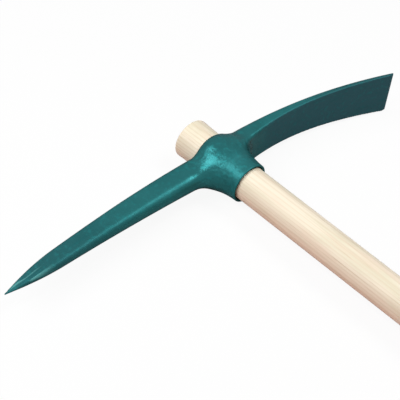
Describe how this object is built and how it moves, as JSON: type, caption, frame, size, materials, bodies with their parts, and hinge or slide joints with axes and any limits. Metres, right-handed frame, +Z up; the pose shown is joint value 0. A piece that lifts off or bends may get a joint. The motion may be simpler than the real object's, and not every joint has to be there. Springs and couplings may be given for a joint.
{
  "type": "pick axe",
  "caption": "Pick axe: a painted forged head with a long point and a wide curved blade, jammed on the flared top of a round ash handle and free to slide off over the grip.",
  "frame": {"origin": "on the handle's axis, half way along the straight part of the grip", "axes": "+X along the handle from the head to the butt, +Y from the point to the blade, +Z up with the tool lying on its side, so the head's middle plane is z = 0"},
  "size_m": [0.9, 0.5038, 0.0568],
  "materials": {
    "head_paint": "satin teal paint over a rough forged surface",
    "ash_wood": "sanded bare ash with fine grain along the handle"
  },
  "bodies": {
    "handle": {"handle": "ash_wood"},
    "head": {"pick_head": "head_paint"}
  },
  "joints": [
    {"name": "head_slide", "type": "slide", "parent": "handle", "child": "head", "axis": [1, 0, 0], "range_m": [0, 0.9]}
  ]
}
